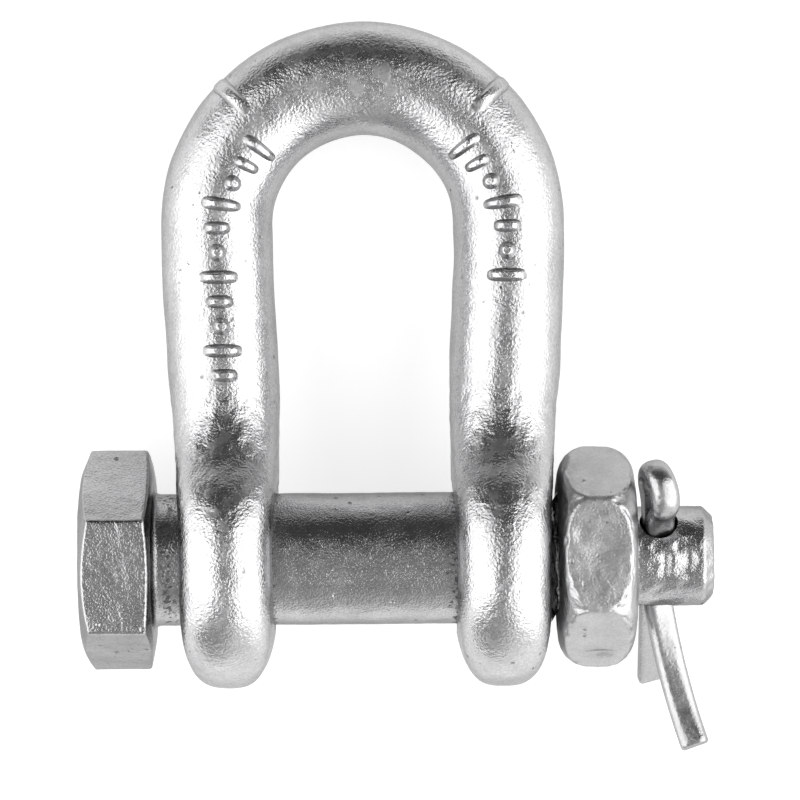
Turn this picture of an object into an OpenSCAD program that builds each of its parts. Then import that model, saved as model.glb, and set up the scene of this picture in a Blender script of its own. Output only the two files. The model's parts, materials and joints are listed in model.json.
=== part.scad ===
// Bolt-type chain shackle: a forged D-shaped bow, a hex-headed bolt through its
// two eyes, a thin hex nut and a split pin through the end of the bolt.
// Each module is drawn with the bolt along X, the crown of the bow along +Y and
// the front face along +Z, about the middle of the bolt between the two eyes.
// The whole shackle is then tipped about the bolt until it lies at rest on its
// two eyes and its crown.

/* [Bow] */
// Diameter of the round bar
bar_d = 16.1; // [13:0.1:18]
// Thickness of the bar at the middle of the crown, seen from the front
crown_t = 16.4; // [13:0.1:22]
// Clear width between the legs at the crown
crown_gap = 26.1; // [22:0.1:36]
// Clear length from the bolt to the inside of the crown
inside_length = 51.5; // [44:0.5:90]
// Narrowest clear width between the two eyes
jaw_gap = 24.7; // [22:0.1:32]
// Outside diameter of each eye
eye_d = 37.2; // [34:0.1:44]
// Thickness of each eye, whose rim is fully rounded
eye_t = 14.9; // [12:0.1:17]
// Radius of the flare where a leg runs into its eye, seen along the bolt
flare_r = 20; // [8:0.5:40]
// Chamfer at the mouths of the bores
mouth = 1.1; // [0.2:0.1:1.6]

/* [Bolt] */
// Diameter of the shank
bolt_d = 19.05; // [16:0.05:20]
// Clearance all round between the shank and the eyes
bore_clearance = 0.8; // [0.3:0.05:1.2]
// Free play of the bolt along its axis
end_play = 3.4; // [0.8:0.1:6]
// Width across the flats of the head
head_af = 28; // [26:0.1:32]
// Height of the head
head_h = 10.4; // [7:0.1:13]
// Diameter of the flat on the end of the head
head_face_d = 25; // [20:0.1:26]
// Slope of the chamfer round the end of the head, in degrees
head_slope = 23; // [10:1:35]
// Diameter of the flat under the head
under_face_d = 25; // [23:0.1:26]
// Slope of the chamfer round the underside of the head, in degrees
under_slope = 11; // [5:1:25]
// Radius of the fillet under the head
head_fillet = 1; // [0.4:0.1:2]
// Turn of the head about the bolt, in degrees
head_turn = 8; // [-30:0.5:30]
// Mean diameter of the thread
thread_d = 17.4; // [15.6:0.1:18]
// Length of thread inside the eye, past the nut's seat
thread_spare = 3; // [1:0.5:8]
// Diameter of the plain end that takes the split pin
tail_d = 14.4; // [12.5:0.1:15.4]
// Length of the plain end past the split pin's axis
tail_past_pin = 7.9; // [6:0.1:12]
// Chamfer at the tip of the plain end
tail_chamfer = 1.4; // [0.5:0.1:3]

/* [Nut] */
// Width across the flats of the nut
nut_af = 28; // [26:0.1:32]
// Thickness of the nut
nut_t = 11.3; // [9.5:0.1:16]
// Diameter of the flat on each face of the nut
nut_face_d = 21.8; // [21:0.1:25]
// Depth of the rounding round each face of the nut
nut_round = 4.1; // [1.5:0.1:4.5]
// Clearance all round in the thread
thread_clearance = 0.05; // [0.02:0.01:0.1]
// Gap between the nut and its eye
nut_gap = 0.3; // [0.1:0.05:0.6]
// Turn of the nut about the bolt, in degrees
nut_turn = -3.5; // [-30:0.5:30]

/* [Split pin] */
// Diameter of the two strands together
wire_d = 4.2; // [3:0.1:4.4]
// Fullness of each strand along the legs, where 2 is half round and more is flatter
wire_fullness = 3.8; // [2:0.1:3.8]
// Fullness of the strand round the split pin's head
head_fullness = 2.4; // [2:0.1:3.8]
// Gap between the two strands
strand_gap = 0.2; // [0.1:0.05:0.4]
// Clearance all round between the split pin and its hole
hole_clearance = 0.55; // [0.5:0.05:0.8]
// Gap between the split pin's head and the nut
pin_gap = 0.3; // [0.1:0.05:1]
// Inside radius of the round end of the split pin's head
loop_r = 2.2; // [1.5:0.1:3]
// Radius of the neck under the split pin's head
neck_r = 11.1; // [8:0.1:13]
// Depth inside the hole at which the two strands part
neck_depth = 0.8; // [0:0.1:1.2]
// Turn of the split pin's hole about the bolt, out of the bow's plane, in degrees
pin_turn = 45; // [0:1:47]
// Twist of the split pin in its hole, in degrees
pin_twist = 18; // [0:1:35]
// Lean of the split pin in its hole, head towards the nut, in degrees
pin_lean = 1; // [0:0.5:1.5]
// Length of the straight leg below the bolt
short_leg = 20.5; // [12:0.1:21]
// Radius of the long leg's first bend
bend_r = 4.5; // [3.5:0.1:8]
// Angle of the long leg's first bend, in degrees
bend_turn = 29; // [10:1:60]
// Length of the long leg after its first bend
long_leg = 22; // [12:0.1:25]
// Angle of the long leg's slow curve after that, in degrees
curl_turn = 37; // [5:1:45]
// Roll of the long leg about its own length, at its end, in degrees
long_roll = 18; // [0:1:30]

/* [Hidden] */
$fn = 96;

// Bow
bar_r = bar_d / 2;
eye_r = eye_d / 2;
rim_r = eye_t / 2;
flat_r = eye_r - rim_r;
bolt_r = bolt_d / 2;
bore_r = bolt_r + bore_clearance;
eye_x = (jaw_gap + eye_t) / 2;
eye_face = jaw_gap / 2 + eye_t;
leg_x = (crown_gap + bar_d) / 2;
crown_y = bolt_r + inside_length + crown_t / 2;
arc_y = bolt_r + inside_length + bar_r - leg_x;
flare_y = sqrt(pow(eye_r + flare_r, 2) - pow(bar_r + flare_r, 2));
flare_end = eye_r * flare_y / (eye_r + flare_r);
lie_tilt = asin((eye_r - bar_r) / crown_y);
// Steps round a section and along the parts of the bow
SIDES = 40;
EYE_STEPS = 9;
LEG_STEPS = 20;
CROWN_STEPS = 28;
// Sides round half of the split pin's wire, and degrees in one step along a bend
WIRE_SIDES = 12;
WIRE_TURN = 6;
// Steps in the fillet under the head and in the nut's roundings
FILLET_STEPS = 5;
ROUND_STEPS = 8;
// How far a cutting shape runs past the face or corner that it cuts
PAST = 2;
CORNER_PAST = 0.06;

// Bolt
head_seat = -(eye_face + end_play - nut_gap);
nut_seat = eye_face + nut_gap;
nut_end = nut_seat + nut_t;
thread_start = eye_face - thread_spare;
thread_r = thread_d / 2;
tail_r = tail_d / 2;
thread_end = nut_end - (thread_r - tail_r);

// Nut, whose roundings run from a flat disc to just past the corners
nut_face_r = nut_face_d / 2;
nut_reach = nut_af / 2 / cos(30) + CORNER_PAST;
function nut_drop(r) = let (t = max(0, r - nut_face_r) / (nut_reach - nut_face_r))
    nut_round * (1 - sqrt(max(0, 1 - t * t)));

// Split pin, whose head may reach a little into the nut's rounding
wire_r = wire_d / 2;
head_power = head_fullness / (head_fullness - 1);
head_reach = wire_r * pow(pow(cos(pin_twist), head_power) + pow(sin(pin_twist), head_power), 1 / head_power);
hole_r = wire_r + strand_gap / 2 + hole_clearance;
neck_start = tail_r - neck_depth;
loop_y = neck_start + sqrt(loop_r * (loop_r + 2 * neck_r));
pin_half_x = head_reach + (loop_r + strand_gap / 2) * sin(pin_twist);
pin_x = nut_end - nut_drop(loop_y - loop_r / 2) + pin_gap + pin_half_x + loop_y * sin(pin_lean);
tail_end = pin_x + tail_past_pin;
neck_turn = acos(neck_r / (neck_r + loop_r));
leg_stand = 0.2;
leg_start = tail_r + leg_stand;

zinc = [0.72, 0.73, 0.74];
bright_zinc = [0.78, 0.79, 0.8];
dull_zinc = [0.6, 0.61, 0.62];

// An ease from 0 to 1 as t runs from a to b
function ease(a, b, t) = let (s = min(1, max(0, (t - a) / (b - a)))) s * s * (3 - 2 * s);
function mix(a, b, s) = a + (b - a) * s;
// The curve |x/a|^p + |y/b|^p = 1, from the cosine and sine of an angle
function power(v, p) = sign(v) * pow(abs(v), 2 / p);

// Half depth of a leg and its eye, seen along the bolt, at height y
function half_depth(y) =
    y >= flare_y ? bar_r
    : y >= flare_end ? bar_r + flare_r - sqrt(pow(flare_r, 2) - pow(flare_y - y, 2))
    : sqrt(max(0, pow(eye_r, 2) - y * y));
// Half thickness of a leg and its eye, seen from the front
function half_thick(y) = mix(rim_r, bar_r, ease(flare_end, flare_y * 1.1, y));
// A quarter of a section as [across, out] at the angle f from its side: above the
// bolt two half rounds with flat sides between, below it a disc with a round rim
function leg_spot(y, f) = let (a = half_thick(y))
    [a * cos(f), f == 0 ? 0 : half_depth(y) - a * (1 - sin(f))];
function foot_spot(drop, f) = let (
        g = mix(asin(max(0, drop - flat_r) / rim_r), 90, f / 90),
        r = flat_r + rim_r * sin(g))
    [rim_r * cos(g), f == 0 ? 0 : sqrt(max(0, r * r - drop * drop))];
// Distance of a leg's middle from the bow's plane of symmetry
function leg_middle(y) = mix(eye_x, leg_x, ease(flare_end, arc_y, y));

// Section of one leg at height y, and of the crown at angle a from the right
function leg_ring(side, y) = [
    for (i = [0 : SIDES - 1]) let (
            q = 360 * i / SIDES,
            f = asin(abs(sin(q))),
            spot = y < 0 ? foot_spot(-y, f) : leg_spot(y, f))
        [side * leg_middle(y) + sign(cos(q)) * spot[0], y, sign(sin(q)) * spot[1]]
];
function crown_ring(a) = let (h = mix(bar_d, crown_t, pow(sin(a), 2)) / 2) [
    for (i = [0 : SIDES - 1]) let (q = 360 * i / SIDES, r = crown_gap / 2 + h * (1 + cos(q)))
        [r * cos(a), arc_y + r * sin(a), bar_r * sin(q)]
];
// Heights of the sections from an eye's foot to the end of its leg
function heights() = concat(
    [for (i = [1 : EYE_STEPS]) -eye_r * cos(90 * i / EYE_STEPS)],
    [for (i = [1 : LEG_STEPS]) arc_y * i / LEG_STEPS]
);
// The left leg's sections are turned over, so that the ring keeps its direction
function turned(ring) = [for (i = [0 : SIDES - 1]) ring[(SIDES / 2 - i + SIDES) % SIDES]];

// Skin of a row of rings, closed by a point at each end
module skin(rings, first, last) {
    n = len(rings);
    m = len(rings[0]);
    points = concat([first], [for (ring = rings) each ring], [last]);
    polyhedron(points, concat(
        [for (i = [0 : m - 1]) [0, 1 + i, 1 + (i + 1) % m]],
        [for (k = [0 : n - 2], i = [0 : m - 1]) let (j = (i + 1) % m, a = 1 + k * m)
            each [[a + i, a + m + i, a + m + j], [a + i, a + m + j, a + j]]],
        [for (i = [0 : m - 1]) let (a = 1 + (n - 1) * m) [n * m + 1, a + (i + 1) % m, a + i]]
    ));
}

module lie_down() {
    rotate([-lie_tilt, 0, 0]) children();
}

module along_bolt() {
    rotate([0, 90, 0]) children();
}

// Hexagon across the flats with one flat to the front, turned about the bolt
module hexagon(across, turn, from, height) {
    translate([from, 0, 0]) rotate([turn, 0, 0]) along_bolt() rotate(30)
        cylinder(d = across / cos(30), h = height, $fn = 6);
}

// Bore of one eye, with a chamfer at each mouth that runs out past the face
module bore_outline() {
    polygon([
        [0, jaw_gap / 2 - PAST],
        [bore_r + mouth + PAST, jaw_gap / 2 - PAST],
        [bore_r, jaw_gap / 2 + mouth],
        [bore_r, eye_face - mouth],
        [bore_r + mouth + PAST, eye_face + PAST],
        [0, eye_face + PAST]
    ]);
}

module bow() {
    right = [for (y = heights()) leg_ring(1, y)];
    crown = [for (i = [1 : CROWN_STEPS - 1]) crown_ring(180 * i / CROWN_STEPS)];
    left = [for (i = [len(heights()) - 1 : -1 : 0]) turned(leg_ring(-1, heights()[i]))];
    color(zinc) lie_down() difference() {
        skin(concat(right, crown, left), [eye_x, -eye_r, 0], [-eye_x, -eye_r, 0]);
        for (side = [0, 1]) mirror([side, 0, 0]) along_bolt() rotate_extrude() bore_outline();
    }
}

// Bolt's outline from under the head to its tip: fillet, shank, thread, plain end
module bolt_outline() {
    fillet = [for (i = [0 : FILLET_STEPS]) let (q = 90 * i / FILLET_STEPS)
        [bolt_r + head_fillet * (1 - sin(q)), head_seat + head_fillet * (1 - cos(q))]];
    polygon(concat(
        [
            [0, head_seat - head_h / 2],
            [bolt_r + head_fillet, head_seat - head_h / 2]
        ],
        fillet,
        [
            [bolt_r, thread_start],
            [thread_r, thread_start + bolt_r - thread_r],
            [thread_r, thread_end],
            [tail_r, thread_end + thread_r - tail_r],
            [tail_r, tail_end - tail_chamfer],
            [tail_r - tail_chamfer, tail_end],
            [0, tail_end]
        ]
    ));
}

// Head's chamfers: a flat disc on each face that slopes away to past the corners
module head_outline() {
    reach = head_af / 2 / cos(30) + PAST;
    drop = (reach - head_face_d / 2) * tan(head_slope);
    under_drop = (reach - under_face_d / 2) * tan(under_slope);
    polygon([
        [0, head_seat - head_h],
        [head_face_d / 2, head_seat - head_h],
        [reach, head_seat - head_h + drop],
        [reach, head_seat - under_drop],
        [under_face_d / 2, head_seat],
        [0, head_seat]
    ]);
}

module bolt() {
    color(dull_zinc) lie_down() difference() {
        union() {
            along_bolt() rotate_extrude() bolt_outline();
            intersection() {
                hexagon(head_af, head_turn, head_seat - head_h, head_h);
                along_bolt() rotate_extrude() head_outline();
            }
        }
        translate([pin_x, 0, 0]) rotate([pin_turn - 90, 0, 0])
            cylinder(r = hole_r, h = 2 * bolt_d, center = true);
    }
}

// Nut's roundings: a flat disc on each face that curves away to past the corners
module nut_outline() {
    radii = [for (i = [0 : ROUND_STEPS]) mix(nut_face_r, nut_reach, sin(90 * i / ROUND_STEPS))];
    polygon(concat(
        [[0, nut_seat]],
        [for (r = radii) [r, nut_seat + nut_drop(r)]],
        [for (i = [ROUND_STEPS : -1 : 0]) [radii[i], nut_end - nut_drop(radii[i])]],
        [[0, nut_end]]
    ));
}

// Nut's bore, with a countersink at each face
module nut_bore_outline() {
    r = thread_r + thread_clearance;
    sink = bolt_r + bore_clearance - r;
    polygon([
        [0, nut_seat - PAST],
        [r + sink + PAST, nut_seat - PAST],
        [r, nut_seat + sink],
        [r, nut_end - sink],
        [r + sink + PAST, nut_end + PAST],
        [0, nut_end + PAST]
    ]);
}

module nut() {
    color(bright_zinc) lie_down() difference() {
        intersection() {
            hexagon(nut_af, nut_turn, nut_seat, nut_t);
            along_bolt() rotate_extrude() nut_outline();
        }
        along_bolt() rotate_extrude() nut_bore_outline();
    }
}

// The split pin's wire lies in one plane, where a place on it is [s, t, heading]:
// t runs up through the bolt, s towards the long leg's side, and a step is
// [length, turn], with the turn to the left in degrees
function move(at, length, turn) = let (h = at[2] + turn, r = length / (turn * PI / 180))
    turn == 0 ? [at[0] + length * cos(h), at[1] + length * sin(h), h]
    : [at[0] + r * (sin(h) - sin(at[2])), at[1] - r * (cos(h) - cos(at[2])), h];
function walk(at, steps, k = 0) = k == len(steps) ? [at] : let (
        length = steps[k][0], turn = steps[k][1], n = max(1, ceil(abs(turn) / WIRE_TURN)))
    concat(
        [for (i = [0 : n - 1]) move(at, length * i / n, turn * i / n)],
        walk(move(at, length, turn), steps, k + 1)
    );
function arc(r, turn) = [r * abs(turn) * PI / 180, turn];
// Section with its flat on the path and its round side to the right, rolled about
// the middle of its height
function wire_ring(at, roll) = [for (i = [0 : WIRE_SIDES]) let (
        q = 90 - 180 * i / WIRE_SIDES,
        p = mix(wire_fullness, head_fullness, ease(neck_start, loop_y - loop_r, at[1])),
        rise = wire_r * (power(cos(q), p) - 1 / 2),
        side = wire_r * power(sin(q), p),
        over = wire_r / 2 + rise * cos(roll) - side * sin(roll))
    [at[0] + over * sin(at[2]), at[1] - over * cos(at[2]), rise * sin(roll) + side * cos(roll)]];
function wire_end(at) = [at[0] + wire_r * sin(at[2]) / 2, at[1] - wire_r * cos(at[2]) / 2, 0];

module cotter_pin() {
    exit = [strand_gap / 2, -leg_start];
    long = walk([exit[0], exit[1], -90], [arc(bend_r, bend_turn), [long_leg, curl_turn]]);
    rest = walk([exit[0], exit[1], 90], [
        [leg_start + neck_start, 0],
        arc(neck_r, -neck_turn),
        arc(loop_r, neck_turn + 90),
        [strand_gap, 0],
        arc(loop_r, neck_turn + 90),
        arc(neck_r, -neck_turn),
        [neck_start + tail_r + short_leg, 0]
    ]);
    n = len(long) - 1;
    path = concat([for (i = [n : -1 : 1]) [long[i][0], long[i][1], long[i][2] + 180]], rest);
    rings = [for (i = [0 : len(path) - 1]) wire_ring(path[i], long_roll * max(0, 1 - i / n))];
    color(bright_zinc) lie_down()
        translate([pin_x, 0, 0]) rotate([pin_turn, 0, 0])
            rotate([0, 0, pin_lean]) rotate([0, pin_twist - 90, 0])
            skin(rings, wire_end(path[0]), wire_end(path[len(path) - 1]));
}

bow();
bolt();
nut();
cotter_pin();
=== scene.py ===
import bmesh
import bpy
import json
import math
import numpy as np
from mathutils import Matrix, Vector


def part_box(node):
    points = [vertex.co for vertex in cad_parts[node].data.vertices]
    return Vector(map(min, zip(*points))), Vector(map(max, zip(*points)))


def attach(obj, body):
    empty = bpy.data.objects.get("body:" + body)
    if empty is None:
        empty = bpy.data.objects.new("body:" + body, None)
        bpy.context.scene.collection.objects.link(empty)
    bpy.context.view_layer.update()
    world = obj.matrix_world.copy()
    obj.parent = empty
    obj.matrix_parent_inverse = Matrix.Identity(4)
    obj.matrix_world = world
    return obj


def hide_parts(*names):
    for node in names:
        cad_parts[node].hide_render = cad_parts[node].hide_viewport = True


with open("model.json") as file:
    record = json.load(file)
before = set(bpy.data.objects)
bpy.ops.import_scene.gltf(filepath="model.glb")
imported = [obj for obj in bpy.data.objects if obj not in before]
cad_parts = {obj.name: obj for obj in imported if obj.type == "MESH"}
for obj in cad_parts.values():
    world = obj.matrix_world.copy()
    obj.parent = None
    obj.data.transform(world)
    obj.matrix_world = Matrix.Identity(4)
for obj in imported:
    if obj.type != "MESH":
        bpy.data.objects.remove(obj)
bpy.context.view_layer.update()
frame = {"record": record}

# the shackle's own frame: x along the bolt, u towards the crown, n out of the front, in mm
mounts = {mount["name"]: mount for mount in frame["record"]["mounts"]}
seatDims = mounts["pin_seat"]["dims"]
crownAxis = mounts["bow_crown"]["axis"]
lieTilt = math.atan2(crownAxis[2], -crownAxis[1])
mm = 0.001
inset = 1.2  # a skin is set in by this many of its heights, so that its ripples stay inside the solids


def boxMm(name):
    low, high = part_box(name)
    return np.array(low) / mm, np.array(high) / mm


def layDown(points):  # shackle frame in mm to the row's frame in metres: a turn of -lieTilt about x
    x, u, n = np.moveaxis(np.asarray(points, float), -1, 0)
    c, s = math.cos(lieTilt), math.sin(lieTilt)
    return np.stack([x, u * c + n * s, n * c - u * s], axis=-1) * mm


def aboutBolt(x, r, q):  # from cylindrical: q is 0 towards the crown and 90 degrees to the front
    x, r, q = np.broadcast_arrays(x, r, q)
    return np.stack([x, r * np.cos(q), r * np.sin(q)], axis=-1)


def ease(low, high, t):  # smooth step from 0 to 1
    s = np.clip((t - low) / (high - low), 0, 1)
    return s * s * (3 - 2 * s)


def softMin(a, b, k):  # smaller of two values, rounded over a width k
    h = np.clip(0.5 + 0.5 * (b - a) / k, 0, 1)
    return b + (a - b) * h - k * h * (1 - h)


def power(v, p):
    return np.sign(v) * np.abs(v) ** (2 / p)


def ripples(points, count, shortest, longest, seed):
    # sum of sine waves in random directions, about -1 to 1, with wavelengths from shortest to longest in mm
    rng = np.random.default_rng(seed)
    ways = rng.normal(size=(count, 3))
    ways *= 2 * np.pi / (np.linalg.norm(ways, axis=1) * rng.uniform(shortest, longest, count))[:, None]
    return np.sin(points @ ways.T + rng.uniform(0, 6.283, count)).sum(axis=-1) / math.sqrt(count)


def crater(points, centre, size, depth):  # a hollow of Gaussian form with a raised rim, size per axis
    d = (((points - np.array(centre)) / np.array(size)) ** 2).sum(axis=-1)
    return -depth * (1 - 0.55 * d) * np.exp(-d)


def gridNormals(points):  # outward cross product of the two grid directions, columns closed round
    along = np.gradient(points, axis=0)
    around = np.roll(points, -1, axis=1) - np.roll(points, 1, axis=1)
    normal = np.cross(around, along)
    return normal / np.maximum(np.linalg.norm(normal, axis=-1, keepdims=True), 1e-12)


def ringFaces(rows, cols, closed=False):  # quads from ring to ring, and from the last to the first if closed
    r, c = np.meshgrid(np.arange(rows if closed else rows - 1), np.arange(cols), indexing="ij")
    after = (r + 1) % rows * cols
    beside = (c + 1) % cols
    return np.stack([r * cols + c, after + c, after + beside, r * cols + beside], axis=-1).reshape(-1, 4)


def makeMesh(name, verts, quads, tris=np.zeros((0, 3), int), sharp=35):
    mesh = bpy.data.meshes.new(name)
    loops = np.concatenate([quads.ravel(), tris.ravel()])
    sizes = np.concatenate([np.full(len(quads), 4), np.full(len(tris), 3)])
    mesh.vertices.add(len(verts))
    mesh.vertices.foreach_set("co", np.ascontiguousarray(verts, np.float32).ravel())
    mesh.loops.add(len(loops))
    mesh.loops.foreach_set("vertex_index", loops.astype(np.int32))
    mesh.polygons.add(len(sizes))
    mesh.polygons.foreach_set("loop_start", np.concatenate([[0], np.cumsum(sizes)[:-1]]).astype(np.int32))
    mesh.update(calc_edges=True)
    mesh.validate()
    shape = bmesh.new()
    shape.from_mesh(mesh)
    if shape.calc_volume(signed=True) < 0:  # an inside-out mesh is turned to face outward
        mesh.flip_normals()
    shape.free()
    mesh.polygons.foreach_set("use_smooth", np.ones(len(sizes), bool))
    mesh.set_sharp_from_angle(angle=math.radians(sharp))
    obj = bpy.data.objects.new(name, mesh)
    bpy.context.scene.collection.objects.link(obj)
    return obj


def tubeFaces(rows, cols, start=0):
    # quads from ring to ring and a fan to a pole at each end; the two poles come last
    ring = np.arange(cols)
    beside = np.roll(ring, -1)
    last = (rows - 1) * cols
    first = np.stack([np.full(cols, rows * cols), ring, beside], axis=-1)
    final = np.stack([np.full(cols, rows * cols + 1), beside + last, ring + last], axis=-1)
    return ringFaces(rows, cols) + start, np.concatenate([first, final]) + start


def tube(name, rings, first, last, sharp=35):
    rows, cols = rings.shape[:2]
    quads, tris = tubeFaces(rows, cols)
    points = np.concatenate([rings.reshape(-1, 3), [first, last]])
    return makeMesh(name, layDown(points), quads, tris, sharp)


def cutAway(piece, cutter, sharp=35):
    cut = piece.modifiers.new("cut", "BOOLEAN")
    cut.operation = "DIFFERENCE"
    cut.solver = "EXACT"
    cut.object = cutter
    mesh = bpy.data.meshes.new_from_object(piece.evaluated_get(bpy.context.evaluated_depsgraph_get()))
    piece.modifiers.remove(cut)
    piece.data = mesh
    bpy.data.objects.remove(cutter)
    mesh.polygons.foreach_set("use_smooth", np.ones(len(mesh.polygons), bool))
    mesh.set_sharp_from_angle(angle=math.radians(sharp))


def easedRows(keys, cuts, steps, bend=6):
    # rows along a chain of straight runs between keys, each corner eased by the curve
    # (1-s)^2 a + 2 s (1-s) corner + s^2 b that leaves and joins the runs a cut away from the corner;
    # a cut takes at most 0.45 of the runs beside it
    way = np.diff(keys, axis=0)
    run = np.linalg.norm(way, axis=-1, keepdims=True)
    way /= run
    room = 0.45 * np.minimum(np.concatenate([run[:1], run]), np.concatenate([run, run[-1:]]))
    cuts = np.minimum(np.reshape(cuts, (-1, 1, 1)), room)
    rows = []
    for k, count in enumerate(steps):
        start = keys[k] + way[k] * cuts[k]
        end = keys[k + 1] - way[k] * cuts[k + 1]
        s = np.linspace(0, 1, count)[:, None, None]
        rows.append(start + (end - start) * s)
        if k + 1 < len(steps):
            after = keys[k + 1] + way[k + 1] * cuts[k + 1]
            s = np.linspace(0, 1, bend + 1)[1:-1, None, None]
            rows.append((1 - s) ** 2 * end + 2 * s * (1 - s) * keys[k + 1] + s ** 2 * after)
    return np.concatenate(rows)


def keyRows(cols, *keys):  # keys of (x, r), each a number or one value per column
    rows = [np.stack([np.broadcast_to(v, cols) for v in key], axis=-1) for key in keys]
    return np.stack(rows).astype(float)


def hexTurns(cols, turn, crowd):  # angles round the bolt, crowded towards the corners of a hexagon
    s = np.linspace(0, 2 * np.pi, cols, endpoint=False)
    return s + crowd / 6 * np.sin(6 * s) + turn


def hexReach(q, turn, across, soft):  # from the axis to a hexagon with a flat to the front and eased corners
    side = math.pi / 3
    off = (q - turn - math.pi / 2 + side / 2) % side - side / 2
    near = across / 2 / np.cos(off)
    beyond = across / 2 / np.cos(side - np.abs(off))
    return softMin(near, beyond, soft)


# bow: a round bar along a D, each leg flaring into an eye with drafted sides and a rounded rim
bowLow, bowHigh = boxMm("bow")
nutLow, nutHigh = boxMm("nut")
boltLow, boltHigh = boxMm("bolt")
nutGap = 0.3
barR = mounts["bow_crown"]["dims"]["r_mm"]
boltR = seatDims["r_mm"]
bow = dict(
    eyeR=-bowLow[2],
    eyeFace=nutLow[0] - nutGap,
    jaw=seatDims["length_mm"] / 2,
    legX=bowHigh[0] - barR,
    crownT=16.4,      # thickness of the bar at the crown
    flareR=20.0,      # hollow between leg and eye, seen from the side
    boreR=boltR + 0.8,
    mouth=1.1,        # chamfer at the mouths of the bores
    rimRound=5.2,     # depth of the rounding at the front and back of an eye
    draft=math.radians(4),
    footFullness=2.8,  # of the foot of an eye, where 2 is an ellipse and more is squarer
    crownRows=66,
    legRows=100,
    footRows=46,
    columns=176,
    boreColumns=240,
    flank=0.21,       # angle on each side of a section whose columns spread over the flat of the eye
    forging=0.05,     # height of the uneven forged skin
    wrinkle=0.035,    # height of the wrinkles where the legs flare
    fin=0.10,         # height of what is left of the trimmed flash, and its half width as an angle
    finWidth=0.07,
)
bow["arcY"] = np.linalg.norm(mounts["bow_crown"]["pos_m"]) / mm + barR - bow["legX"]
bow["eyeHalf"] = (bow["eyeFace"] - bow["jaw"]) / 2
bow["eyeX"] = bow["jaw"] + bow["eyeHalf"]
bow["flareY"] = math.sqrt((bow["eyeR"] + bow["flareR"]) ** 2 - (barR + bow["flareR"]) ** 2)
bow["flareEnd"] = bow["eyeR"] * bow["flareY"] / (bow["eyeR"] + bow["flareR"])
bow["quarter"] = bow["legX"] * math.pi / 2
bow["legEnd"] = bow["quarter"] + bow["arcY"]


def bowSurface(p, q):
    # p is the way in mm along the bar from the middle of the crown, plus to the right, and q the angle
    # round it, 0 outwards and 90 degrees to the front; a section of the leg is round and opens, at the eye,
    # to two blunt ends with drafted sides between; the foot is the curve |y/r|^k + |x/h|^k = 1
    way = np.abs(p)
    onCrown = way < bow["quarter"]
    turn = np.minimum(way / bow["legX"], math.pi / 2)
    y = bow["arcY"] - np.maximum(way - bow["quarter"], 0)
    flare = barR + bow["flareR"] - np.sqrt(np.maximum(bow["flareR"] ** 2 - (bow["flareY"] - y) ** 2, 0))
    disc = np.sqrt(np.maximum(bow["eyeR"] ** 2 - y ** 2, 0))
    depth = np.where(y >= bow["flareY"], barR, np.where(y >= bow["flareEnd"], flare, disc))
    eyeHalf, full = bow["eyeHalf"], bow["footFullness"]
    foot = (1 - np.clip(-y / bow["eyeR"], 0, 1) ** full) ** (1 / full)
    leg = eyeHalf + (barR - eyeHalf) * ease(bow["flareEnd"], bow["flareY"] * 1.1, y)
    thick = np.where(y < 0, eyeHalf * foot, leg)
    share = np.clip((depth - thick) / (bow["eyeR"] - eyeHalf), 0, 1)
    blunt = thick * (1 + (bow["rimRound"] / eyeHalf - 1) * share)
    f = np.arcsin(np.minimum(np.abs(np.sin(q)), 1))
    spread = np.minimum(f / bow["flank"], 1)
    beyond = np.maximum(f - bow["flank"], 0) / (1 - bow["flank"] * 2 / math.pi)
    g = f + (beyond - f) * np.clip((depth - thick) / 0.3 / barR, 0, 1)
    out = blunt * np.sin(g) + (depth - blunt) * spread
    side = thick - share * math.tan(bow["draft"]) * (depth - blunt) * spread
    across = side * np.cos(g) * np.sign(np.cos(q))
    middle = bow["eyeX"] + (bow["legX"] - bow["eyeX"]) * ease(bow["flareEnd"], bow["arcY"], y)
    rise = barR + (bow["crownT"] / 2 - barR) * np.cos(turn) ** 2
    reach = np.where(onCrown, bow["legX"] - barR + rise * (1 + np.cos(q)), middle + across)
    x = np.where(onCrown, reach * np.sin(turn), reach) * np.where(p < 0, -1, 1)
    u = np.where(onCrown, bow["arcY"] + reach * np.cos(turn), y)
    return np.stack([x, u, out * np.sign(np.sin(q))], axis=-1)


def forgedSkin(p, q, lift=0):
    # the smooth form moved along its normal by the uneven forged skin, the flash line and the given lift
    step = 1e-3
    points = bowSurface(p, q)
    along = bowSurface(p + step, q) - bowSurface(p - step, q)
    around = bowSurface(p, q + step) - bowSurface(p, q - step)
    normal = np.cross(around, along)
    normal /= np.maximum(np.linalg.norm(normal, axis=-1, keepdims=True), 1e-12)
    uneven = ripples(points, 26, 6, 22, 3) + 0.15 * ripples(points, 26, 1.8, 4, 4)
    fromSeam = np.abs((q + np.pi / 2) % np.pi - np.pi / 2)
    fin = np.exp(-(fromSeam / bow["finWidth"]) ** 2) * (0.6 + 0.4 * ripples(points, 12, 5, 14, 5))
    fin = fin * (1 - ease(bow["legEnd"] - bow["flareY"], bow["legEnd"] - bow["flareEnd"], np.abs(p)))
    flared = ease(2, 9, points[..., 1]) * (1 - ease(bow["flareY"] - 5, bow["flareY"] + 2, points[..., 1]))
    uneven = uneven + bow["wrinkle"] / bow["forging"] * flared * ripples(points, 26, 1.2, 2.6, 6)
    height = bow["forging"] * (uneven - inset) + bow["fin"] * fin + lift
    return points + normal * height[..., None]


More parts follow.
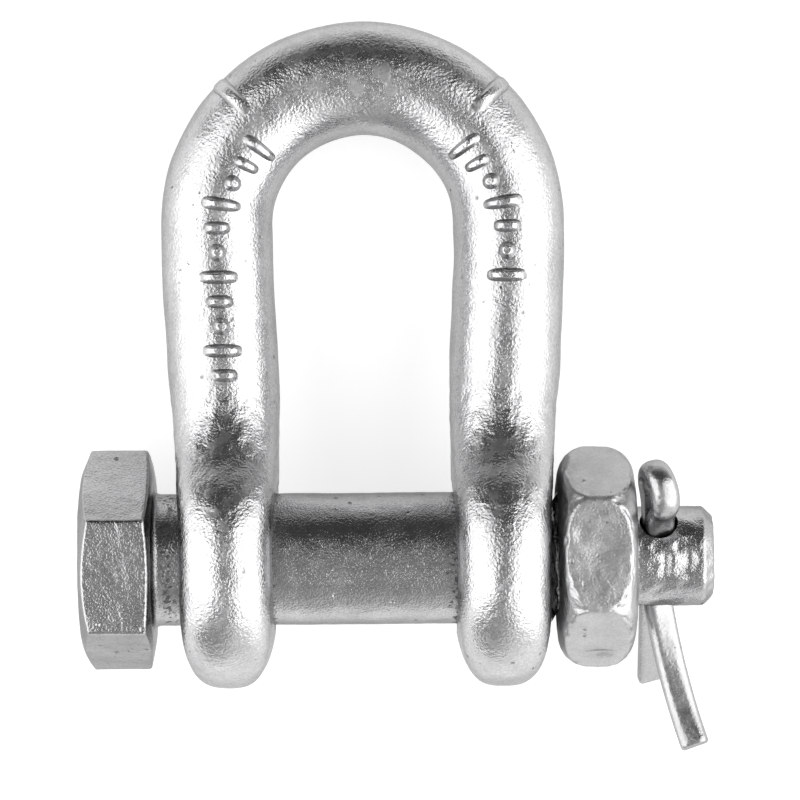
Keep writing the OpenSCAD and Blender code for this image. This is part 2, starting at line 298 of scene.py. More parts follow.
def boreCutter(low, high, chamfer):  # a bore with a chamfer at each mouth that runs out past the face
    past = 1.5
    r = bow["boreR"]
    wide = r + chamfer + past
    profile = np.array([(low - past, wide), (low + chamfer, r), (high - chamfer, r), (high + past, wide)])
    q = np.linspace(0, 2 * np.pi, bow["boreColumns"], endpoint=False)
    rings = aboutBolt(profile[:, :1], profile[:, 1:], q)
    return tube("bore_cutter", rings, (low - past, 0, 0), (high + past, 0, 0))


def makeBow():
    legEnd = bow["legEnd"]
    half = np.concatenate([
        np.linspace(0, bow["quarter"], bow["crownRows"], endpoint=False),
        np.linspace(bow["quarter"], legEnd, bow["legRows"]),
        legEnd + bow["eyeR"] * np.cos(np.linspace(math.pi / 2, 0, bow["footRows"])[1:-1]),
    ])
    way = np.concatenate([-half[:0:-1], half])
    q = np.linspace(0, 2 * np.pi, bow["columns"], endpoint=False)
    points = forgedSkin(*np.meshgrid(way, q, indexing="ij"))
    foot = bow["eyeR"] - bow["forging"]
    piece = tube("forged_bow", points, (-bow["eyeX"], -foot, 0), (bow["eyeX"], -foot, 0))
    inner, outer = bow["jaw"], bow["eyeFace"]
    cutAway(piece, boreCutter(-outer, -inner, bow["mouth"]))
    cutAway(piece, boreCutter(inner, outer, bow["mouth"]))
    return piece


# plain raised marks along the front of the bow: index bars on the crown, bars and pips down the legs
marks = dict(
    indexAt=16.6,                # way from the middle of the crown to an index bar
    indexTurn=42.0,              # middle of an index bar, degrees round from the outside
    index=(1.15, 6.2, 0.7, 4.0),  # half width along the bar, half length across, height, squareness
    kinds={                      # sizes as for an index bar
        "long": (1.15, 3.4, 0.9, 3.0),
        "short": (1.1, 2.3, 0.9, 3.0),
        "pip": (1.5, 1.5, 0.9, 2.0),
    },
    first=19.6,                  # way to the first mark, and from mark to mark
    pitch=3.5,
    turn=93.0,
    lead=20.0,                   # degrees that a row starts further in, and the way over which it comes out
    leadWay=14.0,
    row=["long", "short", "pip"],
    left=11,
    right=7,
    rings=14,
    columns=36,
    level=0.3,                   # share of a mark that is level
    soil=0.75,                   # darkness of the painted shade round a mark's foot, where it meets the skin
    sunk=0.10,                   # depth of a mark's foot under the skin
)


def markPatch(at, turn, size):
    # a pad on the skin: rings of |a/w|^k + |b/l|^k = s^k, level in the middle and eased down to a foot
    width, length, height, square = size
    s = np.linspace(0, 1, marks["rings"] + 1)[1:, None]
    f = np.linspace(0, 2 * np.pi, marks["columns"], endpoint=False)
    a = s * width * power(np.cos(f), square)
    b = s * length * power(np.sin(f), square)
    lift = (height + marks["sunk"]) * (1 - ease(marks["level"], 1, s)) - marks["sunk"]
    rings = forgedSkin(at + a, math.radians(turn) - b / barR, lift + 0 * a)
    p, q = np.array([float(at)]), np.array([math.radians(turn)])
    top = forgedSkin(p, q, np.array([height]))
    under = forgedSkin(p, q, np.array([-4 * marks["sunk"]]))
    return np.concatenate([rings.reshape(-1, 3), top, under])


def makeMarks():
    patches = []
    for side in (-1, 1):
        patches.append(markPatch(side * marks["indexAt"], marks["indexTurn"], marks["index"]))
        for k in range(marks["left"] if side < 0 else marks["right"]):
            way = k * marks["pitch"]
            turn = marks["turn"] + marks["lead"] * (1 - float(ease(0, marks["leadWay"], way)))
            size = marks["kinds"][marks["row"][k % len(marks["row"])]]
            patches.append(markPatch(side * (marks["first"] + way), turn, size))
    count = len(patches[0])
    faces = [tubeFaces(marks["rings"], marks["columns"], k * count) for k in range(len(patches))]
    quads = np.concatenate([q for q, t in faces])
    tris = np.concatenate([t for q, t in faces])
    points = np.concatenate(patches)
    piece = makeMesh("raised_marks", layDown(points), quads, tris)
    s = np.repeat(np.linspace(0, 1, marks["rings"] + 1)[1:], marks["columns"])
    # painted shade: a ragged dark ring painted round the foot of each mark, kept as a point attribute
    foot = np.concatenate([marks["soil"] * ease(0.55, 0.9, s), [0, 0]])
    soil = piece.data.attributes.new("soil", "FLOAT", "POINT")
    ragged = np.clip(0.45 + 0.6 * ripples(points, 24, 1.0, 3.0, 41), 0, 1)
    soil.data.foreach_set("value", (np.tile(foot, len(patches)) * ragged).astype(np.float32))
    return piece


# bolt: hex head chamfered on both faces, fillet, shank, thread, plain end and cross hole
thread = dict(pitch=2.54, crest=9.42, depth=1.45, room=0.05)
bolt = dict(
    columns=264,
    crowd=-0.62,      # share by which columns crowd towards the corners of the hexagon
    across=28.0,
    turn=math.radians(8.0),
    corner=0.5,       # easing of the hexagon's corners
    headHeight=10.4,
    faceR=12.5,       # radius of the level part of the head's outer face, and the slope round it
    slope=math.radians(23),
    underR=12.5,      # the same under the head
    underSlope=math.radians(11),
    fillet=1.0,
    threadSpare=3.0,  # thread that runs on inside the eye
    tailR=7.2,
    tailChamfer=1.4,
    skin=0.03,        # heights of the long and the short ripples
    fineSkin=0.012,
    tailSkin=0.04,    # height of the wrinkled zinc on the plain end
    scarAt=-34.6,     # forging line across the front of the head, its height and half width
    scar=0.07,
    scarWidth=0.28,
    dents=[           # place in the shackle frame, size along each axis, depth
        ((42.9, -1.1, 7.0), (0.8, 2.1, 3.0), 0.26),
        ((44.7, 1.7, 7.0), (0.7, 1.2, 3.0), 0.16),
        ((46.2, -0.4, 7.0), (1.3, 2.6, 3.0), 0.34),
    ],
)
bolt["top"] = boltLow[0]
bolt["seat"] = bolt["top"] + bolt["headHeight"]
bolt["end"] = boltHigh[0]
pinHole = dict(radius=2.75, turn=math.radians(45), past=7.9, columns=72)
pinHole["x"] = bolt["end"] - pinHole["past"]


def threadForm(x, q, crest, depth):  # helix of a 60 degree thread with a narrow crest and root
    phase = (x / thread["pitch"] - q / (2 * np.pi)) % 1
    return crest - depth * np.clip(1.3 - np.abs(phase - 0.5) * 3.1, 0, 1)


def holeCutter():  # a cylinder across the bolt that reaches past it on both sides
    r, turn = pinHole["radius"], pinHole["turn"]
    f = np.linspace(0, 2 * np.pi, pinHole["columns"], endpoint=False)
    t = np.array([-1.0, 1.0])[:, None] * boltR * 1.3
    rings = np.stack([
        np.broadcast_to(pinHole["x"] + r * np.cos(f), (2, len(f))),
        t * math.cos(turn) - r * np.sin(f) * math.sin(turn),
        t * math.sin(turn) + r * np.sin(f) * math.cos(turn)], axis=-1)
    ends = rings.mean(axis=1)
    return tube("hole_cutter", rings, ends[0], ends[1])


def makeBolt():
    cols = bolt["columns"]
    q = hexTurns(cols, bolt["turn"], bolt["crowd"])
    reach = hexReach(q, bolt["turn"], bolt["across"], bolt["corner"])
    shoulder = bolt["top"] + (reach - bolt["faceR"]) * math.tan(bolt["slope"])
    base = bolt["seat"] - (reach - bolt["underR"]) * math.tan(bolt["underSlope"])
    threadLow = bow["eyeFace"] - bolt["threadSpare"]
    step = thread["crest"] - bolt["tailR"]
    threadHigh = nutHigh[0] - step
    keys = keyRows(
        cols,
        (bolt["top"], 0), (bolt["top"], bolt["faceR"]), (shoulder, reach), (base, reach),
        (bolt["seat"], bolt["underR"]), (bolt["seat"], boltR), (threadLow, boltR),
        (threadLow + boltR - thread["crest"], thread["crest"]), (threadHigh, thread["crest"]),
        (threadHigh + step, bolt["tailR"]), (bolt["end"] - bolt["tailChamfer"], bolt["tailR"]),
        (bolt["end"], bolt["tailR"] - bolt["tailChamfer"]), (bolt["end"], 0))
    cuts = [0, 0.6, 0.3, 0.5, 0.6, bolt["fillet"], 0.04, 0.04, 0.3, 0.3, 0.35, 0.35, 0]
    steps = [9, 5, 34, 4, 5, 72, 2, 62, 4, 34, 5, 8]
    rows = easedRows(keys, cuts, steps)[1:-1]
    x, r = rows[..., 0], rows[..., 1]
    runIn = ease(threadLow, threadLow + 1.2, x)
    runOut = 1 - ease(threadHigh - 1.0, threadHigh, x)
    threaded = runIn * runOut * (r > bolt["tailR"])
    r = r + (threadForm(x, q, thread["crest"], thread["depth"]) - thread["crest"]) * threaded
    points = aboutBolt(x, r, q)
    normal = gridNormals(points)
    lift = bolt["skin"] * (ripples(points, 24, 5, 16, 11) - inset)
    lift += bolt["fineSkin"] * ripples(points, 24, 1.4, 3, 12)
    facing = np.abs(q - bolt["turn"] - math.pi / 2) < math.pi / 6
    onFront = facing * (x < base - 0.5) * (r > bolt["faceR"] + 1)
    wander = 0.35 * np.sin(points[..., 1] * 0.55) + 0.12 * np.sin(points[..., 1] * 2.1)
    broken = np.clip(0.4 + 0.7 * ripples(points, 16, 1.5, 4, 14), 0, 1)
    fromScar = (x - bolt["scarAt"] - wander) / bolt["scarWidth"]
    lift += bolt["scar"] * onFront * broken * np.exp(-fromScar ** 2)
    lift += bolt["tailSkin"] * ripples(points, 24, 1.2, 2.6, 13) * ease(nutHigh[0], nutHigh[0] + 1, x)
    for centre, size, depth in bolt["dents"]:
        lift += crater(points, centre, size, depth)
    points = points + normal * lift[..., None]
    piece = tube("hex_bolt", points, (bolt["top"], 0, 0), (bolt["end"], 0, 0), sharp=48)
    cutAway(piece, holeCutter(), sharp=48)
    return piece


# nut: thin hexagon rounded off on both faces, with a threaded bore, a struck front and a dented lower flat
nut = dict(
    columns=264,
    crowd=-0.6,
    across=28.0,
    turn=math.radians(-3.5),
    corner=0.9,        # easing of the hexagon's corners
    faceR=10.9,
    round=4.1,         # depth of the quarter ellipse round each face
    roundKeys=5,
    ragged=0.24,       # depth of the nicks along the edges, and how far they reach from them
    nickWidth=0.55,
    mouthR=boltR + 0.8,
    skin=0.04,         # heights of the long and the short ripples
    fineSkin=0.015,
    dents=[            # place in the shackle frame, size along each axis, depth
        ((33.4, 1.2, 14.0), (2.7, 2.7, 3.0), 0.20),
        ((30.6, 3.6, 14.0), (1.1, 1.6, 2.0), 0.14),
        ((33.4, -13.7, 4.4), (2.6, 0.8, 1.2), 0.45),
        ((34.4, -9.9, 10.9), (0.28, 0.22, 0.3), 0.25),
    ],
)
nut["cornerR"] = nut["across"] / math.sqrt(3) - 0.2


def makeNut():
    cols = nut["columns"]
    q = hexTurns(cols, nut["turn"], nut["crowd"])
    reach = hexReach(q, nut["turn"], nut["across"], nut["corner"])
    low, high = nutLow[0], nutHigh[0]
    boreR = thread["crest"] + thread["room"]
    sink = nut["mouthR"] - boreR
    radii = [nut["faceR"] + (reach - nut["faceR"]) * f for f in np.linspace(0, 1, nut["roundKeys"])]
    way = [(r - nut["faceR"]) / (nut["cornerR"] - nut["faceR"]) for r in radii]
    drops = [nut["round"] * (1 - np.sqrt(1 - t ** 2)) for t in way]
    inner = (low, (nut["mouthR"] + nut["faceR"]) / 2)
    rising = [(low + drop, r) for drop, r in zip(drops, radii)]
    falling = [(high - drop, r) for drop, r in zip(drops, radii)][::-1]
    bore = [(high, nut["mouthR"]), (high - sink, boreR), (low + sink, boreR), (low, nut["mouthR"])]
    keys = keyRows(cols, inner, *rising, *falling, *bore, inner)
    bends = [0.1] + [0.35] * (nut["roundKeys"] - 2) + [0.6]
    cuts = [0] + bends + bends[::-1] + [0.1, 0.2, 0.2, 0.1, 0]
    runs = [4] * (nut["roundKeys"] - 1)
    rows = easedRows(keys, cuts, [2] + runs + [40] + runs + [2, 3, 52, 3, 2])[:-1]
    x, r = rows[..., 0], rows[..., 1]
    runIn = ease(low + sink, low + sink + 1, x)
    runOut = 1 - ease(high - sink - 1, high - sink, x)
    threaded = (r < boreR + 0.05) * runIn * runOut
    r = r + (threadForm(x, q, boreR, thread["depth"]) - boreR) * threaded
    points = aboutBolt(x, r, q)
    normal = gridNormals(points)
    outside = r > nut["mouthR"]
    lift = nut["skin"] * (ripples(points, 24, 4, 12, 21) - inset)
    lift += nut["fineSkin"] * ripples(points, 24, 1.2, 2.6, 22)
    for centre, size, depth in nut["dents"]:
        lift += crater(points, centre, size, depth)
    fromEdge = np.minimum(np.abs(x - low - drops[-1]), np.abs(x - high + drops[-1]))
    fromEdge = fromEdge + np.maximum(reach - r - 0.3, 0)
    nicks = np.maximum(ripples(points, 30, 0.9, 2.6, 23), 0)
    lift -= nut["ragged"] * nicks * np.exp(-(fromEdge / nut["nickWidth"]) ** 2)
    points = points + normal * (lift * outside)[..., None]
    faces = ringFaces(len(points), cols, closed=True)
    return makeMesh("hex_nut", layDown(points.reshape(-1, 3)), faces, sharp=48)


# split pin: a flattened half-round wire folded to a loop, one leg straight and one bent forward
splitPin = dict(
    wireR=2.1,
    fullness=3.8,     # of the wire's section, where 2 is round and more is flatter
    headFullness=2.4,
    edge=0.3,         # rounding of the wire's two edges
    heart=0.8,        # height of the section's middle over its flat
    gap=0.2,
    neckDepth=0.8,
    loopR=2.2,
    neckR=11.1,
    twist=math.radians(18),
    lean=math.radians(1),
    legStart=0.2,
    shortLeg=20.5,
    bendR=4.5,
    bendTurn=29.0,
    longLeg=22.0,
    curl=37.0,
    roll=math.radians(18),   # roll of the long leg about its own length, at its end
    step=0.28,        # way from ring to ring
    columns=44,
)


def walk(at, heading, runs):
    # places (s, t, heading) along straight runs and arcs of (length, turn in degrees), turns to the left
    places = []
    s, t = at
    for length, turn in runs:
        count = max(2, int(math.ceil(length / splitPin["step"])))
        f = np.linspace(0, 1, count, endpoint=False)
        bend = math.radians(turn)
        h = heading + bend * f
        if turn == 0:
            places.append(np.stack([
                s + length * f * math.cos(heading), t + length * f * math.sin(heading), h], -1))
            s, t = s + length * math.cos(heading), t + length * math.sin(heading)
        else:
            r = length / bend
            places.append(np.stack([
                s + r * (np.sin(h) - math.sin(heading)), t - r * (np.cos(h) - math.cos(heading)), h], -1))
            s += r * (math.sin(heading + bend) - math.sin(heading))
            t -= r * (math.cos(heading + bend) - math.cos(heading))
        heading += bend
    places.append(np.array([[s, t, heading]]))
    return np.concatenate(places)


def pinPath():
    tailR = bolt["tailR"]
    start = tailR + splitPin["legStart"]
    neck = tailR - splitPin["neckDepth"]
    neckR, loopR = splitPin["neckR"], splitPin["loopR"]
    neckTurn = math.degrees(math.acos(neckR / (neckR + loopR)))

    def arc(r, turn):
        return r * abs(math.radians(turn)), turn

    way = (splitPin["gap"] / 2, -start)
    bent = walk(way, -math.pi / 2, [
        arc(splitPin["bendR"], splitPin["bendTurn"]), (splitPin["longLeg"], splitPin["curl"])])
    rest = walk(way, math.pi / 2, [
        (start + neck, 0), arc(neckR, -neckTurn), arc(loopR, neckTurn + 90),
        (splitPin["gap"], 0), arc(loopR, neckTurn + 90), arc(neckR, -neckTurn),
        (neck + tailR + splitPin["shortLeg"], 0)])
    back = bent[:0:-1] + np.array([0, 0, math.pi])
    roll = np.concatenate([np.linspace(splitPin["roll"], 0, len(back)), np.zeros(len(rest))])
    return np.concatenate([back, rest]), roll


def strandReach(f, full):  # from the section's heart to |a/R|^p + |b/R|^p = 1 at angle f, found by halving
    low = np.zeros(np.broadcast_shapes(f.shape, full.shape))
    high = low + 2 * splitPin["wireR"]
    for _ in range(40):
        middle = (low + high) / 2
        a = np.abs(middle * np.cos(f)) / splitPin["wireR"]
        b = np.abs(splitPin["heart"] + middle * np.sin(f)) / splitPin["wireR"]
        within = a ** full + b ** full < 1
        low, high = np.where(within, middle, low), np.where(within, high, middle)
    return low


def makeSplitPin():
    path, roll = pinPath()
    f = np.linspace(0, 2 * np.pi, splitPin["columns"], endpoint=False)
    heart = splitPin["heart"]
    neck = bolt["tailR"] - splitPin["neckDepth"]
    neckR, loopR = splitPin["neckR"], splitPin["loopR"]
    loopLow = neck + math.sqrt(loopR * (loopR + 2 * neckR)) - loopR
    rounder = (splitPin["headFullness"] - splitPin["fullness"]) * ease(neck, loopLow, path[:, 1:2])
    onRound = strandReach(f, splitPin["fullness"] + rounder)
    onFlat = np.where(np.sin(f) < -0.05, heart / np.maximum(-np.sin(f), 0.05), 99.0)
    reach = softMin(onRound, onFlat, splitPin["edge"])
    across, over = reach * np.cos(f), heart + reach * np.sin(f)
    shrink = np.ones(len(path))
    for k, scale in enumerate((0.86, 0.965)):
        shrink[k] = shrink[-1 - k] = scale
    across = across * shrink[:, None]
    rise = (over - heart) * shrink[:, None]
    c, d = np.cos(roll)[:, None], np.sin(roll)[:, None]
    over, across = heart + rise * c - across * d, rise * d + across * c
    s, t, h = path.T[..., None]
    places = np.stack([s + over * np.sin(h), t - over * np.cos(h), across + 0 * s], axis=-1)
    places += (0.02 * ripples(places, 20, 2, 8, 31))[..., None] * np.array([0.6, 0.6, 0.5])
    ends = places[[0, -1]].mean(axis=1)

    def seat(points):  # twist about the straight leg, lean towards the nut, then turn about the bolt
        turn = (Matrix.Rotation(pinHole["turn"], 3, "X") @ Matrix.Rotation(splitPin["lean"], 3, "Z")
                @ Matrix.Rotation(splitPin["twist"] - math.pi / 2, 3, "Y"))
        return points @ np.array(turn).T + np.array([pinHole["x"], 0, 0])

    return tube("split_pin", seat(places), seat(ends[0]), seat(ends[1]), sharp=50)


# shader helpers
def node(tree, kind, values={}, **settings):
    made = tree.nodes.new("ShaderNode" + kind)
    for key, value in settings.items():
        setattr(made, key, value)
    for key, value in values.items():
        if isinstance(value, bpy.types.NodeSocket):
            tree.links.new(value, made.inputs[key])
        else:
            made.inputs[key].default_value = value
    return made


def calc(tree, operation, *values):
    return node(tree, "Math", dict(enumerate(values)), operation=operation).outputs[0]


def ramp(tree, value, low, high, toLow=0.0, toHigh=1.0):
    values = {"Value": value, "From Min": low, "From Max": high, "To Min": toLow, "To Max": toHigh}
    return node(tree, "MapRange", values, interpolation_type="SMOOTHSTEP").outputs[0]


def blend(tree, factor, a, b):
    return node(tree, "Mix", {0: factor, 6: a, 7: b}, data_type="RGBA").outputs[2]


def noise(tree, vector, scale, detail, roughness, kind="FBM"):
    values = {"Vector": vector, "Scale": scale, "Detail": detail, "Roughness": roughness}
    return node(tree, "TexNoise", values, noise_type=kind).outputs[0]


def newGroup(name, inputs, outputs):
    tree = bpy.data.node_groups.new(name, "ShaderNodeTree")
    for key, value in inputs.items():
        tree.interface.new_socket(key, in_out="INPUT", socket_type="NodeSocketFloat").default_value = value
    for key in outputs:
        tree.interface.new_socket(key, in_out="OUTPUT", socket_type="NodeSocketFloat")
    return tree, tree.nodes.new("NodeGroupInput").outputs, tree.nodes.new("NodeGroupOutput")


def zincSkinGroup():
    # dipped zinc: waves, a fine orange peel, crinkled dross and pits, with height in mm
    inputs = {"Grain": 1500.0, "Peel": 0.1, "Crinkle": 0.05, "Waves": 0.1, "Pits": 0.05}
    tree, given, out = newGroup("zincSkin", inputs, ("Height", "Tone", "Gloss", "Specks"))
    place = node(tree, "TexCoord").outputs["Object"]
    waves = noise(tree, place, 300, 2, 0.5)
    peel = noise(tree, place, given["Grain"], 2, 0.5)
    crinkle = noise(tree, place, 620, 3, 0.6, "RIDGED_MULTIFRACTAL")
    patch = ramp(tree, noise(tree, place, 110, 2, 0.5), 0.36, 0.68)
    cells = node(tree, "TexVoronoi", {"Vector": place, "Scale": 480})
    chosen = ramp(tree, node(tree, "SeparateColor", {0: cells.outputs["Color"]}).outputs[0], 0.80, 0.86)
    pits = calc(tree, "MULTIPLY", ramp(tree, cells.outputs["Distance"], 0.06, 0.22, 1, 0), chosen)
    height = calc(tree, "MULTIPLY", calc(tree, "SUBTRACT", peel, 0.5), given["Peel"])
    dross = calc(tree, "MULTIPLY", calc(tree, "MULTIPLY", crinkle, patch), given["Crinkle"])
    height = calc(tree, "ADD", height, dross)
    swell = calc(tree, "MULTIPLY", calc(tree, "SUBTRACT", waves, 0.5), given["Waves"])
    height = calc(tree, "ADD", height, swell)
    height = calc(tree, "SUBTRACT", height, calc(tree, "MULTIPLY", pits, given["Pits"]))
    specks = ramp(tree, noise(tree, place, 900, 3, 0.6), 0.68, 0.74)
    specks = calc(tree, "MULTIPLY", specks, ramp(tree, noise(tree, place, 60, 2, 0.5), 0.48, 0.6))
    tree.links.new(height, out.inputs["Height"])
    clouds = ramp(tree, noise(tree, place, 160, 4, 0.6), 0.3, 0.7)
    tone = calc(tree, "ADD", clouds, ramp(tree, peel, 0.36, 0.64))
    tree.links.new(calc(tree, "MULTIPLY", tone, 0.5), out.inputs["Tone"])
    tree.links.new(ramp(tree, noise(tree, place, 420, 3, 0.6), 0.3, 0.7), out.inputs["Gloss"])
    tree.links.new(calc(tree, "MAXIMUM", specks, calc(tree, "MULTIPLY", pits, 0.5)), out.inputs["Specks"])
    return tree


def jointShadeGroup():
    # painted shade: a dark band round the bolt's axis at one place along it, ragged at its edges
    tree, given, out = newGroup("residue", {"At": 0.0, "Width": 2.0, "Amount": 1.0}, ("Mask",))
    place = node(tree, "TexCoord").outputs["Object"]
    x = calc(tree, "MULTIPLY", node(tree, "SeparateXYZ", {0: place}).outputs[0], 1000.0)
    off = calc(tree, "ABSOLUTE", calc(tree, "SUBTRACT", x, given["At"]))
    off = calc(tree, "DIVIDE", off, given["Width"])
    ragged = calc(tree, "SUBTRACT", noise(tree, place, 1500, 3, 0.6), 0.56)
    near = calc(tree, "ADD", calc(tree, "SUBTRACT", 1.0, off), calc(tree, "MULTIPLY", ragged, 7.0))
    mask = calc(tree, "MULTIPLY", ramp(tree, near, 0.2, 1.0), given["Amount"])
    tree.links.new(mask, out.inputs["Mask"])
    return tree


zincSkin = zincSkinGroup()
residue = jointShadeGroup()

# tones, roughness, tint at grazing angles, the skin's grain and heights in mm, and bands of painted shade,
# each with its place along the bolt, its half width and its amount
finishes = {
    "bow_zinc": dict(
        tones=(0.43, 0.57), rough=(0.20, 0.30), edge=0.57,
        grain=2600.0, peel=0.10, crinkle=0.06, waves=0.14, pits=0.05, soil=[]),
    "bolt_zinc": dict(
        tones=(0.35, 0.49), rough=(0.13, 0.22), edge=0.45,
        grain=3200.0, peel=0.075, crinkle=0.05, waves=0.12, pits=0.16,
        # bands of painted shade where the bolt goes into the eyes
        soil=[(-28.0, 1.2, 0.7), (13.2, 1.6, 0.8), (-13.2, 0.6, 0.6)]),
    "nut_zinc": dict(
        tones=(0.41, 0.52), rough=(0.31, 0.41), edge=0.45,
        grain=3000.0, peel=0.06, crinkle=0.04, waves=0.08, pits=0.08, soil=[]),
    "cotter_zinc": dict(
        tones=(0.38, 0.46), rough=(0.24, 0.34), edge=0.6,
        grain=2400.0, peel=0.04, crinkle=0.03, waves=0.05, pits=0.03, soil=[]),
}
# tone of the real specks, and of the painted shade round the marks and where the bolt goes into the eyes
speckAndShadeTone = 0.06
speckAndShadeRough = 0.3  # roughness that the specks and the painted shade add


def zincMaterial(name):
    look = finishes[name]
    material = bpy.data.materials.new(name)
    material.use_nodes = True
    tree = material.node_tree
    shader = tree.nodes["Principled BSDF"]
    skin = tree.nodes.new("ShaderNodeGroup")
    skin.node_tree = zincSkin
    for key in ("Grain", "Peel", "Crinkle", "Waves", "Pits"):
        skin.inputs[key].default_value = look[key.lower()]
    low, high = ((tone, tone, tone * 1.01, 1) for tone in look["tones"])
    colour = blend(tree, skin.outputs["Tone"], low, high)
    rough = ramp(tree, skin.outputs["Gloss"], 0, 1, *look["rough"])
    # the dark mask: real specks of the zinc, with painted shade round the marks' feet and in bands on the
    # bolt
    footShade = node(tree, "Attribute", attribute_name="soil").outputs["Fac"]
    specksAndShade = calc(tree, "MAXIMUM", skin.outputs["Specks"], footShade)
    for at, width, amount in look["soil"]:
        band = tree.nodes.new("ShaderNodeGroup")
        band.node_tree = residue
        for key, value in (("At", at), ("Width", width), ("Amount", amount)):
            band.inputs[key].default_value = value
        specksAndShade = calc(tree, "MAXIMUM", specksAndShade, band.outputs["Mask"])
    colour = blend(tree, specksAndShade, colour, (speckAndShadeTone, speckAndShadeTone, speckAndShadeTone, 1))
    rough = calc(tree, "ADD", rough, calc(tree, "MULTIPLY", specksAndShade, speckAndShadeRough))
    bump = node(tree, "Bump", {"Height": skin.outputs["Height"], "Strength": 1.0, "Distance": mm})
    shader.inputs["Metallic"].default_value = 1.0
    shader.inputs["Specular Tint"].default_value = (look["edge"], look["edge"], look["edge"], 1)
    tree.links.new(colour, shader.inputs["Base Color"])
    tree.links.new(rough, shader.inputs["Roughness"])
    tree.links.new(bump.outputs[0], shader.inputs["Normal"])
    return material


def finish(piece, slot, body, *nodes):
    piece.data.materials.clear()
    piece.data.materials.append(materials[slot])
    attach(piece, body)
    if nodes:
        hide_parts(*nodes)
    print("stage:", piece.name, len(piece.data.polygons), "faces")


# camera square to the front of the bow, with the photograph's frame of 800 by 800
shot = dict(distance=600.0, centre=(5.17, 22.8), pixelsPerMm=6.93, roll=0.5, pixels=800, sensor=36)


def makeCamera():
    data = bpy.data.cameras.new("camera")
    camera = bpy.data.objects.new("camera", data)
    bpy.context.scene.collection.objects.link(camera)
    data.sensor_width = shot["sensor"]
    data.sensor_fit = "AUTO"
    data.lens = shot["sensor"] * shot["distance"] * shot["pixelsPerMm"] / shot["pixels"]
    data.clip_start = 0.01
    data.clip_end = 20
    spot = layDown([shot["centre"][0], shot["centre"][1], shot["distance"]])
    turn = Matrix.Rotation(-lieTilt, 4, "X") @ Matrix.Rotation(math.radians(-shot["roll"]), 4, "Z")
    camera.matrix_world = Matrix.Translation(Vector(spot)) @ turn
    bpy.context.scene.camera = camera


# studio: a pale floor that greys off past the crown and is palest on the near side, a big soft lamp on each
# side, a dark room above and a pale card on the near side
studio = dict(
    floorSize=6.0, floorDrop=0.0001,
    floorTone=0.5, floorFar=0.35, floorWhite=0.65, floorGrey=0.15, greyFrom=0.083, greyTo=0.13,
    floorNear=0.88, nearFrom=-0.02, nearTo=-0.1,
    lampLevel=2.2, lampDistance=0.7,
    lamps=[           # side, turn from the view axis and half span in degrees, height, shift to the crown
        ("lamp_left", -1, 56.0, 36.0, 1.15, -0.05),
        ("lamp_right", 1, 56.0, 36.0, 1.35, -0.15),
    ],
    skyWay=(-0.5, 0.87, 0),  # the way to the dark part of the room
    above=0.08, room=0.38, below=0.5, card=1.1,
    aboveFrom=0.48, cardFrom=-0.74, cardTo=-0.9,  # where the room changes, as cosines from that way
)


def makeFloor():
    half = studio["floorSize"] / 2
    z = bowLow[2] * mm - studio["floorDrop"]
    corners = [(-half, -half, z), (half, -half, z), (half, half, z), (-half, half, z)]
    mesh = bpy.data.meshes.new("floor")
    mesh.from_pydata(corners, [], [(0, 1, 2, 3)])
    floor = bpy.data.objects.new("floor", mesh)
    bpy.context.scene.collection.objects.link(floor)
    material = bpy.data.materials.new("pale_floor")
    material.use_nodes = True
    tree = material.node_tree
    tree.nodes.clear()
    path = node(tree, "LightPath").outputs
    seen = calc(tree, "MAXIMUM", path["Is Camera Ray"], path["Is Glossy Ray"])
    seen = calc(tree, "MAXIMUM", seen, path["Is Transmission Ray"])
    y = node(tree, "SeparateXYZ", {0: node(tree, "NewGeometry").outputs["Position"]}).outputs[1]
    tone = ramp(tree, y, studio["greyFrom"], studio["greyTo"], studio["floorTone"], studio["floorFar"])
    matt = node(tree, "BsdfDiffuse", {"Color": tone})
    level = ramp(tree, y, studio["greyFrom"], studio["greyTo"], studio["floorWhite"], studio["floorGrey"])
    near = ramp(tree, y, studio["nearFrom"], studio["nearTo"], 0, studio["floorNear"] - studio["floorWhite"])
    level = calc(tree, "MULTIPLY", seen, calc(tree, "ADD", level, near))
    white = node(tree, "Emission", {"Strength": level})
    both = node(tree, "AddShader", {0: matt.outputs[0], 1: white.outputs[0]})
    node(tree, "OutputMaterial", {"Surface": both.outputs[0]})
    mesh.materials.append(material)


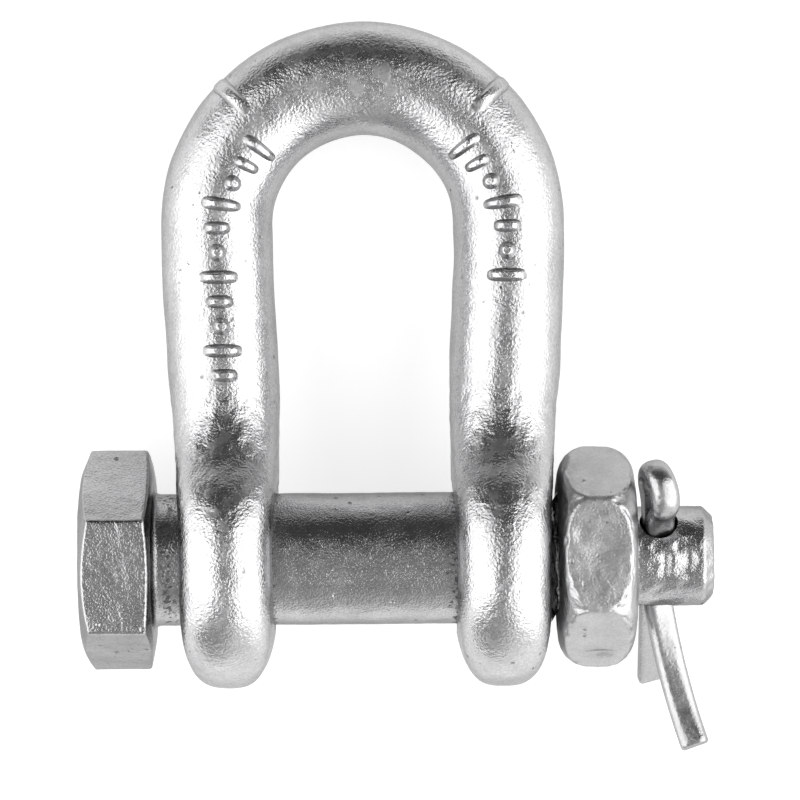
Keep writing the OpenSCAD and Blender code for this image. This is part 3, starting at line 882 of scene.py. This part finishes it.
def makeLamps():
    for name, side, degrees, span, height, shift in studio["lamps"]:
        turn = math.radians(degrees)
        width = 2 * studio["lampDistance"] * math.tan(math.radians(span))
        data = bpy.data.lights.new(name, "AREA")
        data.shape = "RECTANGLE"
        data.size = width
        data.size_y = height
        data.energy = studio["lampLevel"] * math.pi * width * height
        lamp = bpy.data.objects.new(name, data)
        bpy.context.scene.collection.objects.link(lamp)
        out = np.array([side * math.sin(turn), 0, math.cos(turn)]) * studio["lampDistance"] / mm
        spot = layDown(out + np.array([0, shift / mm, 0]))
        aim = Matrix.Rotation(-lieTilt, 4, "X") @ Matrix.Rotation(side * turn, 4, "Y")
        lamp.matrix_world = Matrix.Translation(Vector(spot)) @ aim


def makeWorld():
    world = bpy.data.worlds.new("studio")
    bpy.context.scene.world = world
    world.use_nodes = True
    tree = world.node_tree
    ray = node(tree, "TexCoord").outputs["Generated"]
    skyWay = Vector(layDown(studio["skyWay"])).normalized()
    toSky = node(tree, "VectorMath", {0: ray, 1: skyWay}, operation="DOT_PRODUCT").outputs["Value"]
    above, cardFrom = studio["above"], studio["cardFrom"]
    level = ramp(tree, toSky, studio["aboveFrom"], 0.0, above, studio["room"])
    level = calc(tree, "MAXIMUM", level, ramp(tree, toSky, 0.0, cardFrom, above, studio["below"]))
    card = ramp(tree, toSky, cardFrom, studio["cardTo"], above, studio["card"])
    level = calc(tree, "MAXIMUM", level, card)
    tree.links.new(level, tree.nodes["Background"].inputs["Strength"])
    tree.nodes["Background"].inputs["Color"].default_value = (1, 1, 1, 1)


makeCamera()
materials = {slot: zincMaterial(slot) for slot in finishes}
print("stage: camera and finishes")
finish(makeBow(), "bow_zinc", "bow", "bow")
finish(makeMarks(), "bow_zinc", "bow")
finish(makeBolt(), "bolt_zinc", "bolt_set", "bolt")
finish(makeNut(), "nut_zinc", "bolt_set", "nut")
finish(makeSplitPin(), "cotter_zinc", "bolt_set", "cotter_pin")
makeFloor()
makeLamps()
makeWorld()
bpy.context.scene.view_settings.view_transform = "Standard"
print("stage: studio")
